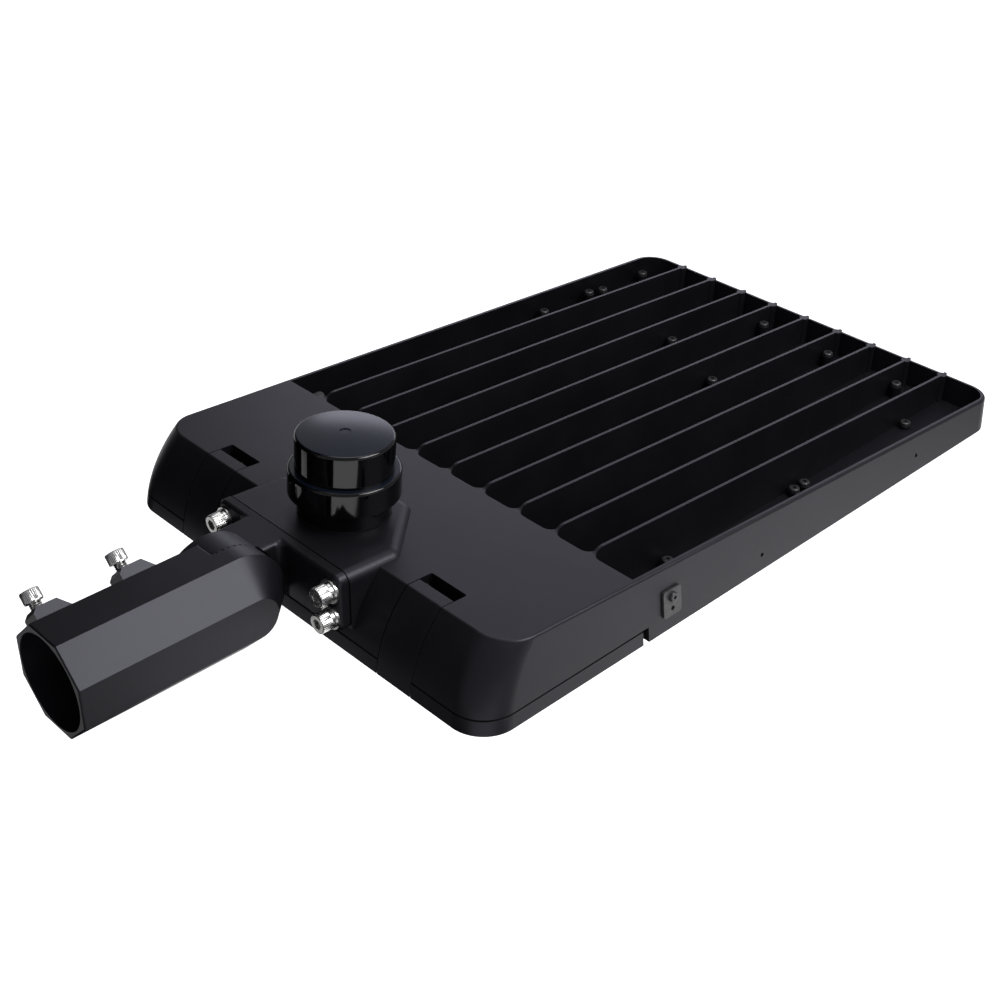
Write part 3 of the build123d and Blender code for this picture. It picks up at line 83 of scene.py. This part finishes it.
# Black cards that only reflections see: middle, what they face, width and height in metres
CARDS = {
    "card_left": {"place": (-1.0, 1.2, 0.1), "target": (0.2, 0.0, 0.0), "size": (2.4, 1.6)},
    "card_over_tube": {"place": (-0.05, 0.62, 0.66), "target": (0.1, 0.0, 0.0), "size": (1.2, 0.9)},
    "card_floor": {"place": (-1.2, 0.2, -0.52), "target": (-1.2, 0.2, 1.0), "size": (3.0, 4.4)},
    "card_front": {"place": (-0.2, -1.32, -0.53), "target": (-0.2, -1.32, 1.0), "size": (2.0, 1.18)},
    "card_right": {"place": (2.15, -0.95, -0.53), "target": (2.15, -0.95, 1.0), "size": (0.9, 1.0)},
}

# Looks give waves per metre as scales, and a grain as its strength and its depth in metres.
# Noise stays mostly within its usual range, which is spread over each range of tones or roughness.
NOISE_RANGE = (0.3, 0.7)
TONE_RANGE = (0.35, 0.65)
NOISE_DETAIL = 3.0
NOISE_ROUGHNESS = 0.55
ROUGH_SCALE_SHARE = 1 / 3

# Satin charcoal powder coat, with the radius of its softened edges in metres
COAT = {
    "tones": ((0.0042, 0.0041, 0.0056), (0.0062, 0.006, 0.008)), "tone_scale": 24.0,
    "rough": (0.38, 0.43), "rough_scale": 2600.0,
    "grain": (0.12, 0.00012), "grain_scale": 3000.0,
    "specular": 0.41, "tint": (0.88, 0.87, 1.0),
}
COAT_EDGE = 0.0003
EDGE_SAMPLES = 6

# Shorting cap: gloss sides and a satin end face, which is where a face turns towards the cap's axis; the end
# face's lighter, bluer tone is a painted bluish sheen
CAP_AXIS = JOINTS["cap_twist"]["axis"]
CAP_END_FROM = 0.9
CAP_END_FULL = 0.98
CAP = {
    # Side tone, then the end face's lighter, bluer tone, which is a painted bluish sheen
    "tones": ((0.0014, 0.0014, 0.0018), (0.005, 0.0075, 0.0145)),
    "side_rough": (0.06, 0.09), "end_rough": (0.2, 0.26),
    "grain": (0.04, 0.0001), "grain_scale": 1800.0,
    "specular": 0.4,
}

# The other surfaces, by slot
LOOKS = {
    "stainless": {
        "tones": ((0.6, 0.6, 0.59), (0.7, 0.7, 0.69)), "tone_scale": 400.0,
        "rough": (0.22, 0.3), "grain": (0.03, 0.00005), "grain_scale": 4000.0, "metal": 1.0,
    },
    "dark_steel": {
        "tones": ((0.05, 0.05, 0.052), (0.085, 0.085, 0.088)), "tone_scale": 500.0,
        "rough": (0.25, 0.4), "grain": (0.08, 0.0001), "grain_scale": 3000.0, "metal": 0.6,
    },
    "seal": {
        "tones": ((0.004, 0.004, 0.004), (0.007, 0.007, 0.007)), "tone_scale": 120.0,
        "rough": (0.8, 0.95), "grain": (0.3, 0.0003), "grain_scale": 1800.0, "specular": 0.15,
    },
    "black_plastic": {
        "tones": ((0.0012, 0.0012, 0.0016), (0.002, 0.002, 0.0026)), "tone_scale": 60.0,
        "rough": (0.06, 0.11), "grain": (0.02, 0.0001), "grain_scale": 500.0, "specular": 0.4,
    },
    "brass": {
        "tones": ((0.68, 0.47, 0.2), (0.8, 0.6, 0.28)), "tone_scale": 200.0,
        "rough": (0.2, 0.35), "grain": (0.1, 0.0001), "grain_scale": 1500.0, "metal": 1.0,
    },
    "plated_sheet": {
        "tones": ((0.55, 0.56, 0.58), (0.7, 0.71, 0.72)), "tone_scale": 90.0,
        "rough": (0.25, 0.45), "grain": (0.08, 0.0001), "grain_scale": 900.0, "metal": 1.0,
    },
    "clip_sheet": {
        "tones": ((0.03, 0.03, 0.031), (0.045, 0.045, 0.046)), "tone_scale": 150.0,
        "rough": (0.3, 0.42), "grain": (0.15, 0.0002), "grain_scale": 1500.0,
    },
    "driver_case": {
        "tones": ((0.62, 0.62, 0.6), (0.72, 0.72, 0.7)), "tone_scale": 40.0,
        "rough": (0.4, 0.55), "grain": (0.15, 0.0002), "grain_scale": 900.0,
    },
    "surge_case": {
        "tones": ((0.03, 0.03, 0.034), (0.045, 0.045, 0.05)), "tone_scale": 60.0,
        "rough": (0.35, 0.5), "grain": (0.15, 0.0002), "grain_scale": 900.0,
    },
    "terminal": {
        "tones": ((0.62, 0.58, 0.47), (0.72, 0.68, 0.57)), "tone_scale": 80.0,
        "rough": (0.4, 0.55), "grain": (0.12, 0.0002), "grain_scale": 900.0,
    },
    "gland": {
        "tones": ((0.012, 0.012, 0.012), (0.02, 0.02, 0.02)), "tone_scale": 120.0,
        "rough": (0.45, 0.6), "grain": (0.15, 0.0002), "grain_scale": 1200.0,
    },
    "board": {
        "tones": ((0.7, 0.7, 0.68), (0.8, 0.8, 0.78)), "tone_scale": 120.0,
        "rough": (0.35, 0.5), "grain": (0.05, 0.0001), "grain_scale": 900.0,
    },
    "phosphor": {
        "tones": ((0.75, 0.52, 0.07), (0.85, 0.64, 0.12)), "tone_scale": 900.0,
        "rough": (0.35, 0.5), "grain": (0.1, 0.0001), "grain_scale": 3000.0,
    },
    "lens": {
        "tones": ((0.86, 0.89, 0.9), (0.92, 0.94, 0.95)), "tone_scale": 60.0,
        "rough": (0.04, 0.1), "grain": (0.02, 0.0001), "grain_scale": 400.0,
    },
}
LENS_CLEAR = 0.9
LENS_IOR = 1.49

# Nodes that are one casting: their shared edges are no real edges, so they are not softened
ONE_CASTING = ("housing", "compartment_walls", "latch_pockets", "heat_sink_tray")

# Socket-head screws in metres: head, its height, key across flats, shank, thread pitch
FLANGE_BOLT = {"head": 0.013, "height": 0.008, "key": 0.006, "shank": 0.008, "pitch": 0.00125}
SET_SCREW = {"head": 0.012, "height": 0.0075, "key": 0.006, "shank": 0.008, "pitch": 0.00125}
SCREW_SIDES = 72
KNURL_DEPTH = 0.00022
HEAD_CHAMFER = 0.0007
HEAD_FOOT = 0.0006
KEY_DEPTH_SHARE = 0.55
KEY_POINT_SHARE = 0.85
KEY_CHAMFER = 0.0003
THREAD_DEPTH = 0.0006
ROWS_PER_THREAD = 4
SHARP_DEGREES = 25

# Chamfer on the heads of the CAD screws, as a share of their height
SOLID_CHAMFER_SHARE = 0.1


def link(thing):
    """Puts an object in the scene."""
    bpy.context.scene.collection.objects.link(thing)
    return thing


def new_material(name):
    """New material, its node tree and its shader."""
    material = bpy.data.materials.new(name)
    material.use_nodes = True
    tree = material.node_tree
    return material, tree, tree.nodes["Principled BSDF"]


def noise(tree, scale):
    """Noise over the object, with its scale in waves per metre."""
    node = tree.nodes.new("ShaderNodeTexNoise")
    node.inputs["Scale"].default_value = scale
    node.inputs["Detail"].default_value = NOISE_DETAIL
    node.inputs["Roughness"].default_value = NOISE_ROUGHNESS
    tree.links.new(tree.nodes.new("ShaderNodeTexCoord").outputs["Object"], node.inputs["Vector"])
    return node.outputs["Fac"]


def ramp(tree, value, tones, start, end):
    """Colour between two tones as a value goes from start to end."""
    node = tree.nodes.new("ShaderNodeValToRGB")
    for element, position, tone in zip(node.color_ramp.elements, (start, end), tones):
        element.position = position
        element.color = (*tone, 1.0)
    tree.links.new(value, node.inputs["Fac"])
    return node.outputs["Color"]


def spread(tree, value, low, high):
    """Number between low and high as a noise value goes through its usual range."""
    node = tree.nodes.new("ShaderNodeMapRange")
    node.inputs["From Min"].default_value, node.inputs["From Max"].default_value = NOISE_RANGE
    node.inputs["To Min"].default_value = low
    node.inputs["To Max"].default_value = high
    tree.links.new(value, node.inputs["Value"])
    return node.outputs["Result"]


def bump(tree, shader, height, strength, distance):
    """Fine relief from a height."""
    node = tree.nodes.new("ShaderNodeBump")
    node.inputs["Strength"].default_value = strength
    node.inputs["Distance"].default_value = distance
    tree.links.new(height, node.inputs["Height"])
    tree.links.new(node.outputs["Normal"], shader.inputs["Normal"])
    return node


def surface(name, tones, tone_scale, rough, grain, grain_scale, metal=0.0, specular=0.5):
    """Material with two tones, uneven roughness and a fine grain."""
    material, tree, shader = new_material(name)
    tone = ramp(tree, noise(tree, tone_scale), tones, *TONE_RANGE)
    tree.links.new(tone, shader.inputs["Base Color"])
    roughness = spread(tree, noise(tree, grain_scale * ROUGH_SCALE_SHARE), *rough)
    tree.links.new(roughness, shader.inputs["Roughness"])
    bump(tree, shader, noise(tree, grain_scale), *grain)
    shader.inputs["Metallic"].default_value = metal
    shader.inputs["Specular IOR Level"].default_value = specular
    return material


def coat(name, edge_radius):
    """Satin charcoal powder coat with a fine even grain, and softened edges if they have a radius."""
    material, tree, shader = new_material(name)
    tone = ramp(tree, noise(tree, COAT["tone_scale"]), COAT["tones"], *TONE_RANGE)
    tree.links.new(tone, shader.inputs["Base Color"])
    roughness = spread(tree, noise(tree, COAT["rough_scale"]), *COAT["rough"])
    tree.links.new(roughness, shader.inputs["Roughness"])
    grain = bump(tree, shader, noise(tree, COAT["grain_scale"]), *COAT["grain"])
    if edge_radius:
        edge = tree.nodes.new("ShaderNodeBevel")
        edge.samples = EDGE_SAMPLES
        edge.inputs["Radius"].default_value = edge_radius
        tree.links.new(edge.outputs["Normal"], grain.inputs["Normal"])
    shader.inputs["Specular IOR Level"].default_value = COAT["specular"]
    shader.inputs["Specular Tint"].default_value = (*COAT["tint"], 1.0)
    return material


def cap_plastic():
    """Gloss black moulding whose end face has a fine satin finish and a painted bluish sheen as a lighter,
    bluer tone.
    """
    material, tree, shader = new_material("cap_plastic")
    upright = tree.nodes.new("ShaderNodeVectorMath")
    upright.operation = "DOT_PRODUCT"
    upright.inputs[1].default_value = CAP_AXIS
    tree.links.new(tree.nodes.new("ShaderNodeTexCoord").outputs["Normal"], upright.inputs[0])
    # The end face's tone is a painted bluish sheen, lighter and bluer than the sides
    tone = ramp(tree, upright.outputs["Value"], CAP["tones"], CAP_END_FROM, CAP_END_FULL)
    tree.links.new(tone, shader.inputs["Base Color"])
    grain = noise(tree, CAP["grain_scale"])
    gloss = tree.nodes.new("ShaderNodeMapRange")
    gloss.inputs["From Min"].default_value = CAP_END_FROM
    gloss.inputs["From Max"].default_value = CAP_END_FULL
    tree.links.new(upright.outputs["Value"], gloss.inputs["Value"])
    tree.links.new(spread(tree, grain, *CAP["side_rough"]), gloss.inputs["To Min"])
    tree.links.new(spread(tree, grain, *CAP["end_rough"]), gloss.inputs["To Max"])
    tree.links.new(gloss.outputs["Result"], shader.inputs["Roughness"])
    bump(tree, shader, grain, *CAP["grain"])
    shader.inputs["Specular IOR Level"].default_value = CAP["specular"]
    return material


def make_materials():
    """Material of every slot, and those of the casting and the cap."""
    materials = {slot: surface(slot, **look) for slot, look in LOOKS.items()}
    lens = materials["lens"].node_tree.nodes["Principled BSDF"]
    lens.inputs["Transmission Weight"].default_value = LENS_CLEAR
    lens.inputs["IOR"].default_value = LENS_IOR
    materials["charcoal_coat"] = coat("powder_coat", COAT_EDGE)
    materials["casting_coat"] = coat("casting_coat", 0.0)
    materials["cap"] = cap_plastic()
    return materials


def dress_nodes():
    """Gives each CAD node the material of its slot, or its own."""
    dresses = {row["node"]: row["material_slot"] for row in frame["record"]["subparts"]}
    dresses["shorting_cap"] = "cap"
    for node in ONE_CASTING:
        dresses[node] = "casting_coat"
    for node, dress in dresses.items():
        mesh = NODES[node].data
        mesh.materials.clear()
        mesh.materials.append(MATERIALS[dress])


def hexagon(angle, flats):
    """Distance from the middle of a hexagon to its edge at an angle."""
    return flats / 2 / cos((angle + pi / 6) % (pi / 3) - pi / 6)


def thread_radius(screw, height, angle):
    """Radius of a screw's thread at a height and an angle."""
    turn = (height / screw["pitch"] - angle / (2 * pi)) % 1.0
    return screw["shank"] / 2 - THREAD_DEPTH * abs(2 * turn - 1)


def screw_rows(screw, length):
    """Rings of a screw from the bottom of its key to its tip: height from its seat, and radius by angle."""
    radius = screw["head"] / 2
    top = -screw["height"]
    tip = screw["shank"] / 2 - 2 * THREAD_DEPTH
    key = screw["key"]
    ridges = SCREW_SIDES / 2
    rows = [
        (top + screw["height"] * KEY_POINT_SHARE, lambda t: KEY_CHAMFER),
        (top + screw["height"] * KEY_DEPTH_SHARE, lambda t: hexagon(t, key)),
        (top + KEY_CHAMFER, lambda t: hexagon(t, key)),
        (top, lambda t: hexagon(t, key) + KEY_CHAMFER),
        (top, lambda t: radius - HEAD_CHAMFER),
        (top + HEAD_CHAMFER / 3, lambda t: radius - HEAD_CHAMFER / 3),
        (top + HEAD_CHAMFER, lambda t: radius - KNURL_DEPTH * (1 + cos(ridges * t)) / 2),
        (-HEAD_FOOT, lambda t: radius - KNURL_DEPTH * (1 + cos(ridges * t)) / 2),
        (-HEAD_FOOT, lambda t: radius - KNURL_DEPTH),
        (0.0, lambda t: radius - KNURL_DEPTH),
    ]
    count = int(ROWS_PER_THREAD * (length - THREAD_DEPTH) / screw["pitch"])
    step = (length - THREAD_DEPTH) / count
    rows += [(k * step, lambda t, z=k * step: thread_radius(screw, z, t)) for k in range(count + 1)]
    return rows + [(length, lambda t: tip)]


def screw_mesh(name, screw, length, places):
    """One mesh with a knurled screw at every place."""
    rows = screw_rows(screw, length)
    angles = [2 * pi * k / SCREW_SIDES for k in range(SCREW_SIDES)]
    points, faces = [], []
    for place in places:
        first = len(points)
        for height, radius in rows:
            ring = [Vector((radius(t) * cos(t), radius(t) * sin(t), height)) for t in angles]
            points += [place @ point for point in ring]
        for row in range(len(rows) - 1):
            for k in range(SCREW_SIDES):
                a = first + row * SCREW_SIDES + k
                b = first + row * SCREW_SIDES + (k + 1) % SCREW_SIDES
                faces.append((a, a + SCREW_SIDES, b + SCREW_SIDES, b))
        last = first + (len(rows) - 1) * SCREW_SIDES
        faces.append([first + k for k in range(SCREW_SIDES)])
        faces.append([last + k for k in reversed(range(SCREW_SIDES))])
    mesh = bpy.data.meshes.new(name)
    mesh.from_pydata(points, [], faces)
    mesh.polygons.foreach_set("use_smooth", [True] * len(mesh.polygons))
    mesh.set_sharp_from_angle(angle=radians(SHARP_DEGREES))
    mesh.materials.append(MATERIALS["stainless"])
    return mesh


def seated(seat, direction):
    """Place of a screw whose head seats at a point and whose shank runs along a direction."""
    turn = Vector((0, 0, 1)).rotation_difference(Vector(direction))
    return Matrix.Translation(seat) @ turn.to_matrix().to_4x4()


def add_screws(name, node, body, screw, length, places):
    """Detailed screws in the place of a CAD node."""
    piece = link(bpy.data.objects.new(name, screw_mesh(name, screw, length, places)))
    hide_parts(node)
    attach(piece, body)


def add_flange_bolts():
    """The four bolts through the bracket's flange."""
    low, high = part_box("flange_bolts")
    radius = FLANGE_BOLT["head"] / 2
    seat = low[0] + FLANGE_BOLT["height"]
    across = (low[1] + radius, high[1] - radius)
    heights = (low[2] + radius, high[2] - radius)
    places = [seated((seat, y, z), (1, 0, 0)) for y in across for z in heights]
    add_screws("knurled_flange_bolts", "flange_bolts", "head", FLANGE_BOLT, high[0] - seat, places)


def add_set_screw(name, node, body):
    """One set screw on the tube's upper far facet, whose solid head has a chamfer that its box leaves out."""
    low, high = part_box(node)
    chamfer = SET_SCREW["height"] * SOLID_CHAMFER_SHARE
    top = high[1] * sqrt(2) - SET_SCREW["head"] / 2 + chamfer
    tip = low[1] * sqrt(2) + SET_SCREW["shank"] / 2
    seat = top - SET_SCREW["height"]
    across = sqrt(0.5)
    place = seated(((low[0] + high[0]) / 2, seat * across, seat * across), (0, -across, -across))
    add_screws(name, node, body, SET_SCREW, seat - tip, [place])


def make_camera():
    """Camera at the photograph's place."""
    place = Vector(CAMERA_PLACE)
    forward = (Vector(CAMERA_TARGET) - place).normalized()
    level = forward.cross(Vector((0, 0, 1))).normalized()
    upright = level.cross(forward)
    turn = radians(CAMERA_ROLL)
    right = cos(turn) * level + sin(turn) * upright
    up = cos(turn) * upright - sin(turn) * level
    data = bpy.data.cameras.new("camera")
    data.sensor_width = SENSOR_MM
    data.lens = FOCAL_PIXELS * SENSOR_MM / max(IMAGE_WIDTH, IMAGE_HEIGHT)
    data.clip_start = CAMERA_NEAR
    camera = link(bpy.data.objects.new("camera", data))
    axes = Matrix((right, up, -forward)).transposed()
    camera.matrix_world = Matrix.Translation(place) @ axes.to_4x4()
    bpy.context.scene.camera = camera


def facing(place, target):
    """Turn that makes an object at a place look at a target."""
    return (Vector(target) - Vector(place)).to_track_quat("-Z", "Y").to_euler()


def floor_material():
    """Pale surface, partly lit and partly white of itself to the eye and in reflections."""
    material, tree, shader = new_material("floor")
    shader.inputs["Base Color"].default_value = (*FLOOR_COLOUR, 1.0)
    shader.inputs["Roughness"].default_value = FLOOR_ROUGH
    shader.inputs["Emission Color"].default_value = (*WHITE, 1.0)
    path = tree.nodes.new("ShaderNodeLightPath")
    seen = path.outputs["Is Camera Ray"]
    for ray in ("Is Glossy Ray", "Is Transmission Ray"):
        either = tree.nodes.new("ShaderNodeMath")
        either.operation = "MAXIMUM"
        tree.links.new(seen, either.inputs[0])
        tree.links.new(path.outputs[ray], either.inputs[1])
        seen = either.outputs["Value"]
    glow = tree.nodes.new("ShaderNodeMath")
    glow.operation = "MULTIPLY"
    glow.inputs[1].default_value = FLOOR_GLOW
    tree.links.new(seen, glow.inputs[0])
    tree.links.new(glow.outputs["Value"], shader.inputs["Emission Strength"])
    return material


def make_floor():
    """Round pale floor."""
    angles = [2 * pi * k / FLOOR_SIDES for k in range(FLOOR_SIDES)]
    rim = [(FLOOR_RADIUS * cos(t), FLOOR_RADIUS * sin(t), FLOOR_Z) for t in angles]
    mesh = bpy.data.meshes.new("floor")
    mesh.from_pydata(rim, [], [list(range(FLOOR_SIDES))])
    mesh.materials.append(floor_material())
    floor = link(bpy.data.objects.new("floor", mesh))


def make_lamps():
    """Soft boxes, whose power follows from their brightness and their area."""
    for name, lamp in LAMPS.items():
        data = bpy.data.lights.new(name, "AREA")
        data.shape = "RECTANGLE"
        data.size, data.size_y = lamp["size"]
        data.energy = lamp["bright"] * pi * data.size * data.size_y
        data.color = lamp.get("tint", WHITE)
        light = link(bpy.data.objects.new(name, data))
        light.location = lamp["place"]
        light.rotation_euler = facing(lamp["place"], lamp["target"])
        light.visible_camera = False


def make_cards():
    """Black cards beside the object, as in a studio, seen only in reflections."""
    material, _, shader = new_material("card")
    shader.inputs["Base Color"].default_value = (*BLACK, 1.0)
    shader.inputs["Specular IOR Level"].default_value = 0.0
    for name, card in CARDS.items():
        w, h = card["size"][0] / 2, card["size"][1] / 2
        mesh = bpy.data.meshes.new(name)
        mesh.from_pydata([(-w, -h, 0), (w, -h, 0), (w, h, 0), (-w, h, 0)], [], [(0, 1, 2, 3)])
        mesh.materials.append(material)
        board = link(bpy.data.objects.new(name, mesh))
        board.location = card["place"]
        board.rotation_euler = facing(card["place"], card["target"])
        board.visible_camera = False
        board.visible_diffuse = False
        board.visible_shadow = False


def make_world():
    """Even pale surroundings."""
    world = bpy.data.worlds.new("studio")
    world.use_nodes = True
    world.node_tree.nodes["Background"].inputs["Color"].default_value = (*WORLD_COLOUR, 1.0)
    bpy.context.scene.world = world


MATERIALS = make_materials()
dress_nodes()
add_flange_bolts()
add_set_screw("knurled_set_screw_mouth", "set_screw_mouth", "mouth_screw")
add_set_screw("knurled_set_screw_inner", "set_screw_inner", "inner_screw")
make_camera()
make_floor()
make_lamps()
make_cards()
make_world()
bpy.context.scene.view_settings.view_transform = "Standard"
